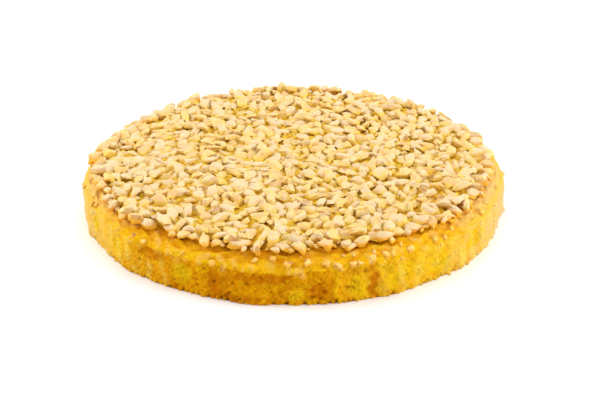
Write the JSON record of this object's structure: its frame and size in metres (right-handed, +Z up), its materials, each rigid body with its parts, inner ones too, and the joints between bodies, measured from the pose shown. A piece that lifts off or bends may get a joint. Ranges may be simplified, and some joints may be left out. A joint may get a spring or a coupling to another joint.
{
  "type": "walnut cake",
  "caption": "Low round sponge cake with a sloping shoulder and gently rippled side, its flat top covered by an uneven bed of coarsely chopped nuts.",
  "frame": {"origin": "middle of the flat base", "axes": "+Z up through the middle of the cake, -Y towards the viewer of the picture"},
  "size_m": [0.2586, 0.2586, 0.0377],
  "materials": {
    "sponge": "golden baked sponge crust with open crumb, matte",
    "nuts": "pale chopped nut flesh with a slight oily sheen"
  },
  "bodies": {
    "root": {"sponge": "sponge", "nut_topping": "nuts"}
  },
  "joints": []
}
